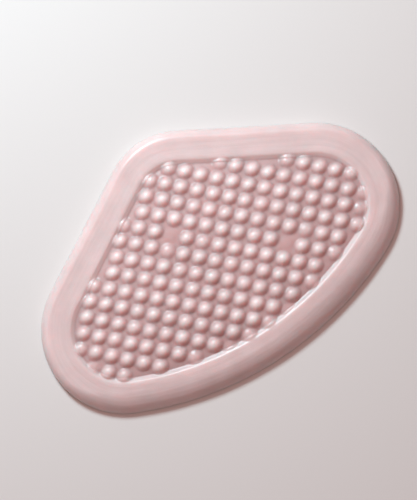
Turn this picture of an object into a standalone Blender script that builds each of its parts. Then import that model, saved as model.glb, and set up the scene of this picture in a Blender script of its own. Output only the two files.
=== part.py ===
"""Gel arch pad: a flat-backed cushion cast in one piece from soft polymer gel.

The plan is a rounded triangle that is the same on both sides of its middle line. A smooth rim runs all
round it, and the shallow recess inside the rim is covered with small domes in staggered rows.

Metres. The origin is on the flat back, under the middle of the plan. +X points to one end of the pad,
which is the heel end in use, +Y to the blunt tip between the two straight sides, and +Z out of the domes.
"""

import math

import bmesh
import bpy
import numpy as np

# Plan of the pad
PAD_LENGTH = 0.0800
PAD_WIDTH = 0.0523
END_RADIUS = 0.0168
TIP_RADIUS = 0.0153
LONG_SIDE_RADIUS = 0.0714

# Section of the rim, from its outer edge inwards
RIM_HEIGHT = 0.0034
EDGE_HEIGHT = 0.0007
ROLL_WIDTH = 0.0036
RIM_WIDTH = 0.0061
LIP_SLOPE_WIDTH = 0.0011
FIELD_DEPTH = 0.0004

# Height of the field's middle over its border
CROWN_HEIGHT = 0.0011

# Domes on the field. Their rows stand a little off the pad's middle, towards the long side, and the
# outermost nubs have their middles a little way up the rim's slope.
NUB_PITCH = 0.0033
NUB_DIAMETER = 0.0029
NUB_HEIGHT = 0.00095
NUB_OVERLAP = 0.0004
NUB_SHIFT = 0.0004

# Facets: points along each arc or side of the plan, steps of the rim's roll, rings of the field, sides of a nub
LONG_SIDE_POINTS = 18
STRAIGHT_SIDE_POINTS = 6
END_LOWER_POINTS = 8
END_UPPER_POINTS = 8
TIP_POINTS = 8
ROLL_STEPS = 4
FIELD_RINGS = 5
NUB_SIDES = 8

# The slope from the lip down to the field, as shares of its width and of the field's depth
LIP_SLOPE = [
    {"across": 0.35, "down": 0.15},
    {"across": 0.70, "down": 0.75},
    {"across": 1.00, "down": 1.00},
]

# A nub's closed solid, as shares of its radius and height. Its foot is buried in the field.
NUB_RINGS = [
    {"radius": 1.12, "height": -0.45},
    {"radius": 0.76, "height": 0.58},
]

GEL_COLOUR = (0.66, 0.44, 0.43, 1.0)
GEL_ROUGHNESS = 0.25


def plan_centres():
    """Centres of the plan's arcs and the direction that the straight side faces.

    The two ends lie half a length less their radius from the middle line. The long side's arc touches
    both ends from inside, and the tip's arc is set by the width. The whole is then centred on Y.
    """
    end_x = PAD_LENGTH / 2 - END_RADIUS
    long_rise = math.sqrt((LONG_SIDE_RADIUS - END_RADIUS) ** 2 - end_x ** 2)
    lowest = long_rise - LONG_SIDE_RADIUS
    shift = -(lowest + PAD_WIDTH / 2)
    end = (end_x, shift)
    long_side = (0.0, long_rise + shift)
    tip = (0.0, PAD_WIDTH / 2 - TIP_RADIUS)
    rise = tip[1] - end[1]
    side_facing = math.atan2(rise, -end_x) - math.acos((END_RADIUS - TIP_RADIUS) / math.hypot(end_x, rise))
    return end, long_side, tip, side_facing


def arc(centre, radius, start, stop, count):
    """Points from start up to stop, which is left out, as arrays of X and Y."""
    angles = np.linspace(start, stop, count, endpoint=False)
    return np.stack([centre[0] + radius * np.cos(angles), centre[1] + radius * np.sin(angles)], axis=1)


def plan(inset):
    """The closed plan curve that lies a given distance inside the pad's edge, counter-clockwise.

    Every arc keeps its centre and loses the inset from its radius, so the distance is the same all round.
    """
    end, long_side, tip, side_facing = plan_centres()
    quarter = math.pi / 2
    half_sweep = math.asin(end[0] / (LONG_SIDE_RADIUS - END_RADIUS))
    end_radius = END_RADIUS - inset
    tip_radius = TIP_RADIUS - inset
    lower = arc(long_side, LONG_SIDE_RADIUS - inset, -quarter, -quarter + half_sweep, LONG_SIDE_POINTS // 2)
    heel_low = arc(end, end_radius, -quarter + half_sweep, 0.0, END_LOWER_POINTS)
    heel_high = arc(end, end_radius, 0.0, side_facing, END_UPPER_POINTS)
    facing = np.array([math.cos(side_facing), math.sin(side_facing)])
    side_start = np.array(end) + facing * end_radius
    side_stop = np.array(tip) + facing * tip_radius
    shares = np.linspace(0.0, 1.0, STRAIGHT_SIDE_POINTS, endpoint=False)[:, None]
    side = side_start + (side_stop - side_start) * shares
    tip_half = arc(tip, tip_radius, side_facing, quarter, TIP_POINTS // 2)
    right = np.concatenate([lower, heel_low, heel_high, side, tip_half])
    top = np.array([[0.0, PAD_WIDTH / 2 - inset]])
    left = right[:0:-1] * np.array([-1.0, 1.0])
    return np.concatenate([right, top, left])


def rim_section():
    """Inset and height of each ring of the rim, from the back's edge to the border of the field."""
    roll_height = RIM_HEIGHT - EDGE_HEIGHT
    section = [(0.0, 0.0), (0.0, EDGE_HEIGHT)]
    for step in range(1, ROLL_STEPS + 1):
        turn = math.pi / 2 * step / ROLL_STEPS
        section.append((ROLL_WIDTH * (1 - math.cos(turn)), EDGE_HEIGHT + roll_height * math.sin(turn)))
    section.append((RIM_WIDTH, RIM_HEIGHT))
    for row in LIP_SLOPE:
        section.append((RIM_WIDTH + LIP_SLOPE_WIDTH * row["across"], RIM_HEIGHT - FIELD_DEPTH * row["down"]))
    return section


def field_height(share):
    """Height of the field at a share of the way from its middle to its border, a shallow paraboloid."""
    return RIM_HEIGHT - FIELD_DEPTH + CROWN_HEIGHT * (1 - share ** 2)


def pad_body():
    """The pad without its nubs: rings of the rim, then rings of the field that close at its middle."""
    border = plan(RIM_WIDTH + LIP_SLOPE_WIDTH)
    rings = [(plan(inset), height) for inset, height in rim_section()]
    for ring in range(FIELD_RINGS - 1, 0, -1):
        share = ring / FIELD_RINGS
        rings.append((border * share, field_height(share)))

    mesh = bmesh.new()
    loops = []
    for points, height in rings:
        loops.append([mesh.verts.new((x, y, height)) for x, y in points])
    mesh.faces.new(list(reversed(loops[0])))
    for outer, inner in zip(loops, loops[1:]):
        for here in range(len(outer)):
            following = (here + 1) % len(outer)
            mesh.faces.new((outer[here], outer[following], inner[following], inner[here]))
    middle = mesh.verts.new((0.0, 0.0, field_height(0.0)))
    last = loops[-1]
    for here in range(len(last)):
        mesh.faces.new((last[here], last[(here + 1) % len(last)], middle))
    return mesh


def inside(point, curve):
    """True where a point lies inside a convex counter-clockwise curve."""
    ahead = np.roll(curve, -1, axis=0) - curve
    across = np.array(point) - curve
    return bool(np.all(ahead[:, 0] * across[:, 1] - ahead[:, 1] * across[:, 0] > 0))


def border_share(point, border):
    """How far out a point of the field lies, from 0 in the middle to 1 on the border."""
    ahead = np.roll(border, -1, axis=0) - border
    outward = np.stack([ahead[:, 1], -ahead[:, 0]], axis=1)
    return float(np.max((outward @ np.array(point)) / np.sum(outward * border, axis=1)))


def nub_places():
    """Middles of the nubs: a square grid turned by 45 degrees, so its rows are staggered along X."""
    row_gap = NUB_PITCH / math.sqrt(2)
    limit = plan(RIM_WIDTH + LIP_SLOPE_WIDTH - NUB_OVERLAP)
    columns = int(PAD_LENGTH / 2 / row_gap)
    rows = int(PAD_WIDTH / 2 / row_gap)
    places = []
    for row in range(-rows, rows + 1):
        for column in range(-columns, columns + 1):
            place = (column * row_gap, row * row_gap - NUB_SHIFT)
            if (row + column) % 2 and inside(place, limit):
                places.append(place)
    return places


def nub_solids():
    """Closed faceted domes on the field, each with its foot below the field's surface."""
    border = plan(RIM_WIDTH + LIP_SLOPE_WIDTH)
    mesh = bmesh.new()
    for x, y in nub_places():
        base = field_height(min(border_share((x, y), border), 1.0))
        loops = []
        for row in NUB_RINGS:
            radius = NUB_DIAMETER / 2 * row["radius"]
            height = base + NUB_HEIGHT * row["height"]
            loop = []
            for side in range(NUB_SIDES):
                turn = 2 * math.pi * (side + 0.5) / NUB_SIDES
                loop.append(mesh.verts.new((x + radius * math.cos(turn), y + radius * math.sin(turn), height)))
            loops.append(loop)
        foot, shoulder = loops
        top = mesh.verts.new((x, y, base + NUB_HEIGHT))
        mesh.faces.new(list(reversed(foot)))
        for side in range(NUB_SIDES):
            following = (side + 1) % NUB_SIDES
            mesh.faces.new((foot[side], foot[following], shoulder[following], shoulder[side]))
            mesh.faces.new((shoulder[side], shoulder[following], top))
    return mesh


def add_object(name, mesh):
    """Puts a bmesh into the scene as an object of that name."""
    data = bpy.data.meshes.new(name)
    mesh.to_mesh(data)
    mesh.free()
    made = bpy.data.objects.new(name, data)
    bpy.context.scene.collection.objects.link(made)
    return made


def gel_material():
    """Soft pink gel: pale, a little glossy and not metallic."""
    material = bpy.data.materials.new("pink_polymer_gel")
    material.use_nodes = True
    shader = material.node_tree.nodes["Principled BSDF"]
    shader.inputs["Base Color"].default_value = GEL_COLOUR
    shader.inputs["Roughness"].default_value = GEL_ROUGHNESS
    shader.inputs["Metallic"].default_value = 0.0
    return material


for old in list(bpy.data.objects):
    bpy.data.objects.remove(old, do_unlink=True)

gel_pad = add_object("gel_pad", pad_body())
gel_pad.data.materials.append(gel_material())

nub_field = add_object("nub_field_tool", nub_solids())
nub_field.hide_render = True
nub_field.display_type = "WIRE"

join = gel_pad.modifiers.new("cast_nubs", "BOOLEAN")
join.operation = "UNION"
join.solver = "EXACT"
join.use_self = True
join.object = nub_field
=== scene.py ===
"""Looks of a gel arch pad: a flat-backed cushion cast in one piece from soft pink gel.

Metres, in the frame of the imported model. The pad lies on its flat back with its domed face up. +X points
to the end that lies nearest the heel in use, and +Y to the blunt tip between the two straight sides.
"""

import math

import bpy
import numpy as np
from mathutils import Matrix, Vector


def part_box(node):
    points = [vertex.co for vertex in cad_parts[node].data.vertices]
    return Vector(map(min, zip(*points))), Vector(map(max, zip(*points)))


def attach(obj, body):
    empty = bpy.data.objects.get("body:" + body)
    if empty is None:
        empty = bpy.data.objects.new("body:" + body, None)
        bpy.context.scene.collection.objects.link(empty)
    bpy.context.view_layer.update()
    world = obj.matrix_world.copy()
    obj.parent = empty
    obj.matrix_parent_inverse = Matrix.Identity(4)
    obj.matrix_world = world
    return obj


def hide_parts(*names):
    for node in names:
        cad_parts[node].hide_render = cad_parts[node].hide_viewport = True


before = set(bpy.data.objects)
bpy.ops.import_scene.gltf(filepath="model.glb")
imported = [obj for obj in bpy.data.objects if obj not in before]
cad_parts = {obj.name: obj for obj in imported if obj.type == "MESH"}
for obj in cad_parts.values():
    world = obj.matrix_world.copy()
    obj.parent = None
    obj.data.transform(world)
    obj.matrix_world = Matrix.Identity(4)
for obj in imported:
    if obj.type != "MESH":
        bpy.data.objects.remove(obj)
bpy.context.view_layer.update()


# The pad: one casting of soft polyurethane gel, poured face down into an open mould. The mould gives the
# face its rolled rim, its shallow field and its rows of small domes, and the back sets flat and level.

pad_low, pad_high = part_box("gel_pad")
PAD_LENGTH = pad_high[0] - pad_low[0]
PAD_WIDTH = pad_high[1] - pad_low[1]
END_RADIUS = 0.0168
TIP_RADIUS = 0.0153
LONG_SIDE_RADIUS = 0.0714

RIM_HEIGHT = 0.0034
EDGE_HEIGHT = 0.0007
RIM_WIDTH = 0.0061
LIP_SLOPE_WIDTH = 0.0011
BORDER_INSET = RIM_WIDTH + LIP_SLOPE_WIDTH
FIELD_DEPTH = 0.0004
GROOVE_DEPTH = 0.00012
GROOVE_POWER = 22
CROWN_HEIGHT = 0.0011
BACK_EDGE_RADIUS = 0.0002
WAVE_HEIGHT = 0.000018

# The roll on the straight sides and on the long side. It starts and ends its change from the one to the
# other where the sine of the edge's facing towards the long side has these two values.
ROLL_WIDTHS = (0.0019, 0.0046)
ROLL_POWERS = (0.55, 0.75)
ROLL_FACINGS = (0.15, 0.95)

# The lip's rise, and the shares of the rim's width where the rise starts and ends and where the wall that
# runs down to the field starts.
LIP_RISE = 0.00008
LIP_SPAN = (0.66, 0.96)
WALL_START = 0.97

NUB_PITCH = 0.0033
NUB_SHIFT = -0.0004
NUB_RADII = (0.00200, 0.00172)
NUB_FULLNESS = 2.6
NUB_HEIGHT = 0.00095
NUB_SPREAD = 0.10
NUB_WANDER = 0.00006
NUB_SEED = 11

# Room from a nub's middle to the border of the field. With less than the first there is no nub, and over
# the two of the fade a nub grows to its full height. It blends with the wall over a height between the last.
NUB_LEAST_ROOM = -0.0005
NUB_FADE = (-0.0012, 0.0008)
NUB_BLENDS = (0.000001, 0.00020)

# Where the rim's colour lies between the hollows' painted shade at 0 and the nubs' painted highlight at 1.
RIM_SHALLOWNESS = 0.72

# Facets: cells of the field's grid, then rings on the wall, on the rim and round the edge of the back.
GRID_CELLS = (312, 192)
WALL_RINGS = 9
RIM_RINGS = 23
BACK_RINGS = 4

# Nubs that came out of the mould low: where they stand, counted in half steps of the rows from the
# middle of the pad, and the share of their height that they have.
LOW_NUBS = [
    {"column": -2, "row": 3, "height": 0.12},
    {"column": -3, "row": 2, "height": 0.62},
    {"column": 0, "row": 1, "height": 0.70},
    {"column": 6, "row": -3, "height": 0.15},
    {"column": 8, "row": -3, "height": 0.70},
    {"column": 6, "row": -7, "height": 0.60},
    {"column": 9, "row": -6, "height": 0.62},
    {"column": 13, "row": -4, "height": 0.55},
    {"column": -6, "row": -7, "height": 0.60},
]


def plan_segments():
    """The pad's edge as six stretches, counter-clockwise from the toe end's joint with the long side.

    Each is an arc about a centre, or a straight line, which is an arc with no sweep that runs on along its
    tangent. Ends stand half a length less their radius from the middle line, the long side's arc touches
    both of them, and the straight sides are the common tangents of the end arcs and the tip's arc.
    """
    end_x = PAD_LENGTH / 2 - END_RADIUS
    long_rise = math.sqrt((LONG_SIDE_RADIUS - END_RADIUS) ** 2 - end_x ** 2)
    end_y = LONG_SIDE_RADIUS - long_rise - PAD_WIDTH / 2
    tip_y = PAD_WIDTH / 2 - TIP_RADIUS
    span = math.hypot(end_x, tip_y - end_y)
    side_facing = math.atan2(tip_y - end_y, -end_x) - math.acos((END_RADIUS - TIP_RADIUS) / span)
    side_length = math.sqrt(span ** 2 - (END_RADIUS - TIP_RADIUS) ** 2)
    half_sweep = math.asin(end_x / (LONG_SIDE_RADIUS - END_RADIUS))
    down = -math.pi / 2
    end_sweep = side_facing - (down + half_sweep)
    tip_sweep = math.pi - 2 * side_facing

    centre = np.array([(0, end_y + long_rise), (end_x, end_y), (end_x, end_y),
                       (0, tip_y), (0, tip_y), (-end_x, end_y)])
    radius = np.array([LONG_SIDE_RADIUS, END_RADIUS, END_RADIUS, TIP_RADIUS, TIP_RADIUS, END_RADIUS])
    sweep = np.array([2 * half_sweep, end_sweep, 0, tip_sweep, 0, end_sweep])
    start = down - half_sweep + np.concatenate([[0], np.cumsum(sweep)[:-1]])
    straight = np.array([0, 0, 1, 0, 1, 0])
    length = np.where(straight, side_length, radius * sweep)
    return centre, radius, start, sweep, straight, length


def plan_edge(run, inset):
    """Points and outward directions at a share of the way round the edge, a distance inside it.

    A point is its stretch's centre, plus its radius less the inset in the outward direction. On a straight
    stretch it also moves along by how far it lies from where that stretch starts.
    """
    centre, radius, start, sweep, straight, length = plan_segments()
    reach = np.cumsum(length)
    travel = (np.asarray(run) % 1.0) * reach[-1]
    piece = np.minimum(np.searchsorted(reach, travel, side="right"), len(length) - 1)
    local = travel - (reach - length)[piece]
    facing = start[piece] + sweep[piece] * local / length[piece]
    outward = np.stack([np.cos(facing), np.sin(facing)], axis=-1)
    along = np.stack([-outward[..., 1], outward[..., 0]], axis=-1)
    place = centre[piece] + outward * (radius[piece] - inset)[..., None]
    return place + along * (straight[piece] * local)[..., None], outward


def smooth_step(low, high, value):
    """0 below low, 1 above high, and between them three times the share squared less twice its cube."""
    share = np.clip((value - low) / (high - low), 0, 1)
    return share * share * (3 - 2 * share)


def roll_shape(run):
    """Width and power of the roll round the edge: tight on the straight sides, broad on the long side.

    The share between the two is an S-curve of how far the edge faces the long side's way.
    """
    facing = plan_edge(run, np.zeros(np.shape(run)))[1][..., 1]
    broad = smooth_step(*ROLL_FACINGS, -facing)
    width = ROLL_WIDTHS[0] + (ROLL_WIDTHS[1] - ROLL_WIDTHS[0]) * broad
    return width, ROLL_POWERS[0] + (ROLL_POWERS[1] - ROLL_POWERS[0]) * broad


def rim_height(run, inset):
    """Height of the rim's face at a share of the way round and a distance inside the edge.

    The roll climbs from the edge as one less the square of the share still to go, to a power between an
    ellipse's half and a parabola's one. The rim then rises slightly to a lip, and an S-curve runs down
    from the lip to the border of the field.
    """
    width, power = roll_shape(run)
    across = np.clip(1 - inset / width, 0, 1)
    roll = EDGE_HEIGHT + (RIM_HEIGHT - EDGE_HEIGHT) * (1 - across ** 2) ** power
    lip = LIP_RISE * smooth_step(LIP_SPAN[0] * RIM_WIDTH, LIP_SPAN[1] * RIM_WIDTH, inset)
    drop = LIP_RISE + FIELD_DEPTH + GROOVE_DEPTH
    return roll + lip - drop * smooth_step(WALL_START * RIM_WIDTH, BORDER_INSET, inset)


def field_height(share):
    """Height of the field at a share of the way from its middle to its border, a shallow paraboloid."""
    return RIM_HEIGHT - FIELD_DEPTH + CROWN_HEIGHT * (1 - share ** 2)


def grooved(share):
    """The field's height with the groove along its border, which is a high power of the share deep."""
    return field_height(share) - GROOVE_DEPTH * share ** GROOVE_POWER


def nub_table(reach):
    """Shape of every nub of the square grid that is turned by 45 degrees, as arrays over its two ways.

    A nub has its full height, up to a tenth more or less, and is lower where its middle comes near the
    rim. One whose middle lies well up the wall is left out.
    """
    step = NUB_PITCH / math.sqrt(2)
    steps = np.arange(-reach, reach) + 0.5
    first, second = np.meshgrid(steps, steps, indexing="ij")
    middle = np.stack([(first + second) * step, (first - second) * step + NUB_SHIFT], axis=-1)

    border, outward = plan_edge(np.linspace(0, 1, 720, endpoint=False), BORDER_INSET)
    support = np.sum(border * outward, axis=1)
    along = middle @ outward.T
    room = np.min(support - along, axis=-1)

    drawn = np.random.default_rng(NUB_SEED)
    height = NUB_HEIGHT * (1 + NUB_SPREAD * drawn.uniform(-1, 1, room.shape))
    height = height * np.where(room > NUB_LEAST_ROOM, smooth_step(*NUB_FADE, room), 0)
    shift = drawn.uniform(-1, 1, middle.shape) * NUB_WANDER
    for low in LOW_NUBS:
        row = (low["column"] + low["row"] - 1) // 2 + reach
        column = (low["column"] - low["row"] - 1) // 2 + reach
        height[row, column] *= low["height"]
    return middle + shift, height


def with_nubs(place, ground, floor):
    """Height of the face with its nubs, and how far up a nub each point is, from 0 to 1.

    A nub rises by its height times the square of one less a power of the share of the way out to its foot.
    That is a round top whose flanks run out with no crease, drawn out a little along X. The feet of
    neighbours overlap and add up to low saddles between them. The nubs stand on floor, which is the ground
    without the rim's wall, so that on the wall the higher of the two counts, blended where they cross.
    """
    step = NUB_PITCH / math.sqrt(2)
    reach = int(PAD_LENGTH / NUB_PITCH)
    middle, height = nub_table(reach)
    x = place[..., 0]
    y = place[..., 1] - NUB_SHIFT
    first = np.floor((x + y) / (2 * step)).astype(int) + reach
    second = np.floor((x - y) / (2 * step)).astype(int) + reach
    rise = np.zeros(x.shape)
    for ahead, aside in ((0, 0), (1, 0), (-1, 0), (0, 1), (0, -1)):
        off = (place - middle[first + ahead, second + aside]) / np.array(NUB_RADII)
        out = np.minimum(np.hypot(off[..., 0], off[..., 1]), 1)
        rise += height[first + ahead, second + aside] * (1 - out ** NUB_FULLNESS) ** 2
    blend = np.clip(rise, *NUB_BLENDS)
    near = np.maximum(0, 1 - np.abs(floor + rise - ground) / blend)
    raised = np.maximum(floor + rise, ground) + blend / 4 * near ** 2
    return raised, np.clip((raised - ground) / NUB_HEIGHT, 0, 1)


def waviness(run, inset):
    """Slow rise and fall of a soft casting's rim, by hundredths of a millimetre: a sum of three waves."""
    turn = 2 * math.pi * run
    wave = np.sin(5 * turn + 0.6) + 0.7 * np.sin(11 * turn + 2.1)
    wave = wave + 0.5 * np.sin(17 * turn + 4.0 + 300 * inset)
    return WAVE_HEIGHT * wave


def face_grid():
    """The field as a square grid bent to a disc, then stretched out to the border in each direction.

    A point of the square (u, v) goes to the disc's (u sqrt(1 - v v / 2), v sqrt(1 - u u / 2)). Its distance
    from the middle is its share of the way out, and its angle gives the run of the border that it lies on.
    """
    dense = np.linspace(0, 1, 2048, endpoint=False)
    border, _ = plan_edge(dense, BORDER_INSET)
    half = np.max(np.abs(border), axis=0)
    angle = np.arctan2(border[:, 1] / half[1], border[:, 0] / half[0])
    cells_x, cells_y = GRID_CELLS
    u, v = np.meshgrid(np.linspace(-1, 1, cells_x + 1), np.linspace(-1, 1, cells_y + 1))
    disc = np.stack([u * np.sqrt(1 - v * v / 2), v * np.sqrt(1 - u * u / 2)], axis=-1)
    share = np.hypot(disc[..., 0], disc[..., 1])
    order = np.unwrap(angle)
    wanted = np.arctan2(disc[..., 1], disc[..., 0])
    wanted = order[0] + (wanted - order[0]) % (2 * math.pi)
    run = np.interp(wanted, np.append(order, order[0] + 2 * math.pi), np.append(dense, 1.0))
    return run, share


def rim_rings(run):
    """Inset and height of the rings that run from the field's border out over the rim and under the back.

    They lie close together where the face bends: on the wall, and towards the edge by a quarter sine. The
    last ones turn in under the back by a quarter circle.
    """
    slope = BORDER_INSET - LIP_SLOPE_WIDTH * np.linspace(0, 1, WALL_RINGS + 1)[1:]
    land = RIM_WIDTH * (1 - np.sin(np.linspace(0, math.pi / 2, RIM_RINGS + 1)[1:]))
    face = np.concatenate([slope, land])[:, None] + 0 * run
    turn = np.linspace(0, math.pi / 2, BACK_RINGS)[:, None] + 0 * run
    back = np.full((1, len(run)), 4 * BACK_EDGE_RADIUS)
    inset = np.concatenate([face, BACK_EDGE_RADIUS * (1 - np.cos(turn)), back])
    height = np.concatenate([rim_height(run, face), BACK_EDGE_RADIUS * (1 - np.sin(turn)), 0 * back])
    return inset, height


def pad_mesh():
    """The pad's closed surface: the field's grid, rings carried round the edge and a face for the back."""
    run, share = face_grid()
    rows, columns = run.shape
    border, _ = plan_edge(run, np.full(run.shape, BORDER_INSET))
    place = border * share[..., None]
    ground = grooved(share)
    height, nub = with_nubs(place, ground, ground)

    index = np.arange(rows * columns).reshape(rows, columns)
    edge = np.concatenate([index[0, :-1], index[:-1, -1], index[-1, :0:-1], index[:0:-1, 0]])
    edge_run = run.ravel()[edge]
    ring_inset, bare = rim_rings(edge_run)
    ring_run = edge_run + 0 * ring_inset
    ring_place, _ = plan_edge(ring_run, ring_inset)
    on_slope = ring_inset > RIM_WIDTH
    raised, ring_nub = with_nubs(ring_place, bare, np.minimum(bare, field_height(1)))
    loose = smooth_step(0, RIM_HEIGHT, bare)
    ring_height = np.where(on_slope, raised, bare) + waviness(ring_run, ring_inset) * loose
    ring_nub = np.where(on_slope, ring_nub, 0)
    height = height + waviness(run, BORDER_INSET) * smooth_step(0, 1, share)

    points = np.concatenate([
        np.dstack([place, height]).reshape(-1, 3),
        np.dstack([ring_place, ring_height]).reshape(-1, 3),
    ])
    rings = rows * columns + np.arange(ring_run.size).reshape(ring_run.shape)
    loops = np.concatenate([edge[None], rings])
    following = np.roll(loops, -1, axis=1)
    cells = np.stack([index[:-1, :-1], index[:-1, 1:], index[1:, 1:], index[1:, :-1]], axis=-1)
    walls = np.stack([loops[:-1], loops[1:], following[1:], following[:-1]], axis=-1)
    faces = np.concatenate([cells.reshape(-1, 4), walls.reshape(-1, 4)])

    mesh = bpy.data.meshes.new("gel_pad_cast")
    mesh.from_pydata(points.tolist(), [], faces.tolist() + [loops[-1, ::-1].tolist()])
    mesh.shade_smooth()

    inset_at = np.concatenate([np.full(rows * columns, BORDER_INSET), ring_inset.ravel()])
    # Over the lower half of the wall the rim's colour falls to the hollows' deep tone, a painted shade in
    # the recess; on the field the nubs' height share paints highlight on their tops and shade between them.
    half_down = RIM_WIDTH + 0.5 * LIP_SLOPE_WIDTH
    on_rim = RIM_SHALLOWNESS * (1 - smooth_step(half_down, BORDER_INSET, ring_inset))
    shallow_at = np.concatenate([nub.ravel(), np.maximum(ring_nub, on_rim).ravel()])
    for name, values in (("shallow", shallow_at), ("inset", inset_at / BORDER_INSET)):
        mesh.attributes.new(name, "FLOAT", "POINT").data.foreach_set("value", values.astype(np.float32))

    turn = 2 * math.pi * np.concatenate([run.ravel(), ring_run.ravel()])
    round_radius = np.sum(plan_segments()[-1]) / (2 * math.pi)
    flow = np.stack([round_radius * np.cos(turn), round_radius * np.sin(turn), inset_at], axis=-1)
    flow_at = mesh.attributes.new("flow", "FLOAT_VECTOR", "POINT").data
    flow_at.foreach_set("vector", flow.ravel().astype(np.float32))
    return mesh


pad = bpy.data.objects.new("gel_pad_cast", pad_mesh())
bpy.context.scene.collection.objects.link(pad)


def linear(code):
    """A colour written as sRGB hex, such as "#CDB0AF", as the linear values that the shader takes."""
    parts = np.array([int(code[place:place + 2], 16) / 255 for place in (1, 3, 5)])
    light = np.where(parts <= 0.04045, parts / 12.92, ((parts + 0.055) / 1.055) ** 2.4)
    return (*light.tolist(), 1.0)


def add_node(tree, kind, links=None, **settings):
    """Adds one shader node. links maps its inputs to other nodes' outputs or to plain values."""
    node = tree.nodes.new(kind)
    for name, value in settings.items():
        setattr(node, name, value)
    for name, value in (links or {}).items():
        if isinstance(value, bpy.types.NodeSocket):
            tree.links.new(value, node.inputs[name])
        else:
            node.inputs[name].default_value = value
    return node


def cast_gel():
    """Soft cast polyurethane gel, pink right through, so it glows a little; its colour carries painted shade
    in its hollows and a painted highlight on its nubs.

    Its skin copies a polished mould, so it shines softly, with faint drawn-out flow lines along the rim.
    """
    material = bpy.data.materials.new("cast_pink_polyurethane_gel")
    material.use_nodes = True
    tree = material.node_tree
    tree.nodes.clear()
    place = add_node(tree, "ShaderNodeTexCoord").outputs["Object"]
    shallow = add_node(tree, "ShaderNodeAttribute", attribute_name="shallow").outputs["Fac"]
    inset = add_node(tree, "ShaderNodeAttribute", attribute_name="inset").outputs["Fac"]
    flow = add_node(tree, "ShaderNodeAttribute", attribute_name="flow").outputs["Vector"]

    # The gel's pink is painted deeper in the hollows as painted shade, and paler on the nubs as a painted
    # highlight.
    painted_light_share = add_node(tree, "ShaderNodeMapRange", {"Value": shallow, "From Min": 0.1, "From Max": 1.0})
    pink_with_painted_light = add_node(tree, "ShaderNodeMix", {
        "Factor": painted_light_share.outputs["Result"], "A": linear("#C2A09E"), "B": linear("#DDCFCD"),
    }, data_type="RGBA")

    # Flow lines run about 14 mm along the rim and lie 0.6 mm apart across it. Their relief fades out where
    # the wall down to the field starts.
    drawn_out = add_node(tree, "ShaderNodeMapping", {"Vector": flow, "Scale": (1.0, 1.0, 23.0)})
    line = add_node(tree, "ShaderNodeTexNoise", {
        "Vector": drawn_out.outputs["Vector"], "Scale": 70.0, "Detail": 3.0})
    rim_only = add_node(tree, "ShaderNodeMapRange", {
        "Value": inset, "From Min": 0.78, "From Max": 0.9, "To Min": 1.0, "To Max": 0.0})
    line_tone = add_node(tree, "ShaderNodeMapRange", {
        "Value": line.outputs["Fac"], "From Min": 0.3, "From Max": 0.7, "To Min": 0.965, "To Max": 1.035})
    # Pigment that settled unevenly, in clouds about 5 mm across.
    cloud = add_node(tree, "ShaderNodeTexNoise", {"Vector": place, "Scale": 200.0, "Detail": 4.0})
    cloud_tone = add_node(tree, "ShaderNodeMapRange", {
        "Value": cloud.outputs["Fac"], "From Min": 0.3, "From Max": 0.7, "To Min": 0.95, "To Max": 1.05})
    tone = add_node(tree, "ShaderNodeMath", {
        0: line_tone.outputs["Result"], 1: cloud_tone.outputs["Result"]}, operation="MULTIPLY")
    toned = add_node(tree, "ShaderNodeHueSaturation", {
        "Color": pink_with_painted_light.outputs["Result"], "Value": tone.outputs["Value"]})

    # The mould's polish is a little uneven, and its finest grain is drawn at 0.3 mm so that it shows.
    grain = add_node(tree, "ShaderNodeTexNoise", {"Vector": place, "Scale": 3200.0, "Detail": 2.0})
    polish = add_node(tree, "ShaderNodeMapRange", {
        "Value": cloud.outputs["Fac"], "From Min": 0.3, "From Max": 0.7, "To Min": 0.30, "To Max": 0.38})
    line_bump = add_node(tree, "ShaderNodeBump", {
        "Height": line.outputs["Fac"], "Strength": rim_only.outputs["Result"], "Distance": 0.00005})
    grain_bump = add_node(tree, "ShaderNodeBump", {
        "Height": grain.outputs["Fac"], "Distance": 0.000012, "Normal": line_bump.outputs["Normal"]})
    shader = add_node(tree, "ShaderNodeBsdfPrincipled", {
        "Base Color": toned.outputs["Color"],
        "Roughness": polish.outputs["Result"],
        "Normal": grain_bump.outputs["Normal"],
        "IOR": 1.47,
        "Subsurface Weight": 1.0,
        "Subsurface Radius": (1.0, 0.4, 0.36),
        "Subsurface Scale": 0.003,
    })
    add_node(tree, "ShaderNodeOutputMaterial", {"Surface": shader.outputs["BSDF"]})
    return material


pad.data.materials.append(cast_gel())
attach(pad, "root")
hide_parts("gel_pad")


# The studio: a plain pale floor, a small bright light from the side of the blunt tip, a large soft one
# overhead, and a pale sky that fills the shadows.

FLOOR_SIZE = 3.0


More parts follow.
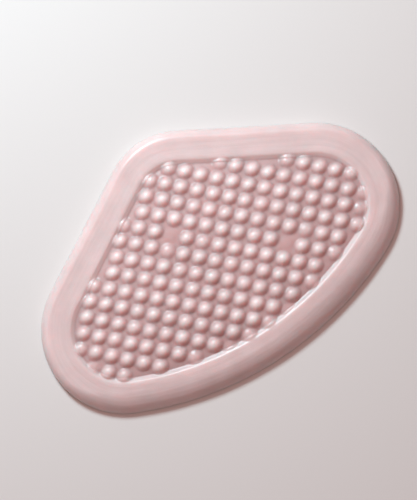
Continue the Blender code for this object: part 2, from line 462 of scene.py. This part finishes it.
def plain_floor():
    """A smooth pale floor, matt enough to hold only the pad's own shadow."""
    half = FLOOR_SIZE / 2
    corners = [(-half, -half, 0), (half, -half, 0), (half, half, 0), (-half, half, 0)]
    mesh = bpy.data.meshes.new("studio_floor")
    mesh.from_pydata(corners, [], [(0, 1, 2, 3)])
    material = bpy.data.materials.new("matt_white_paper")
    material.use_nodes = True
    shader = material.node_tree.nodes["Principled BSDF"]
    shader.inputs["Base Color"].default_value = linear("#D2CFCC")
    shader.inputs["Roughness"].default_value = 0.8
    mesh.materials.append(material)
    return bpy.data.objects.new("studio_floor", mesh)


def area_light(name, place, size, power, colour):
    """Puts a square light at a place, turned to face the pad's middle. Its power is in watts."""
    data = bpy.data.lights.new(name, "AREA")
    data.size = size
    data.energy = power
    data.color = linear(colour)[:3]
    lamp = bpy.data.objects.new(name, data)
    aim = Vector((0, 0, 0)) - Vector(place)
    lamp.matrix_world = Matrix.Translation(place) @ aim.to_track_quat("-Z", "Y").to_matrix().to_4x4()
    bpy.context.scene.collection.objects.link(lamp)


floor = plain_floor()
bpy.context.scene.collection.objects.link(floor)

area_light("key_light", place=(0.0, 0.215, 0.220), size=0.07, power=1.12, colour="#E2F8FF")
area_light("overhead_soft_light", place=(0.0, 0.06, 0.60), size=0.50, power=1.2, colour="#FFC5BF")

world = bpy.data.worlds.new("pale_sky")
world.use_nodes = True
world.node_tree.nodes["Background"].inputs["Color"].default_value = linear("#FFDCD7")
world.node_tree.nodes["Background"].inputs["Strength"].default_value = 0.20
bpy.context.scene.world = world
bpy.context.scene.view_settings.view_transform = "Standard"


# The camera: almost straight above the pad, turned so that the pad's long way climbs to the right.

FRAME_WIDTH = 0.084
FRAME_ASPECT = 500 / 417
CLIMB = math.radians(33)
LEAN = math.radians(3)
LENS = 180.0

camera_data = bpy.data.cameras.new("photo_view")
camera_data.lens = LENS
camera_data.sensor_width = 36.0
camera = bpy.data.objects.new("photo_view", camera_data)
back = Vector((0, -math.sin(LEAN), math.cos(LEAN)))
right = Vector((math.sin(CLIMB), math.cos(CLIMB), 0)).cross(back).normalized()
up = back.cross(right)
distance = FRAME_WIDTH * FRAME_ASPECT * LENS / camera_data.sensor_width
turned = Matrix((right, up, back)).transposed().to_4x4()
camera.matrix_world = Matrix.Translation(back * distance + Vector((0, 0, RIM_HEIGHT))) @ turned
bpy.context.scene.collection.objects.link(camera)
bpy.context.scene.camera = camera
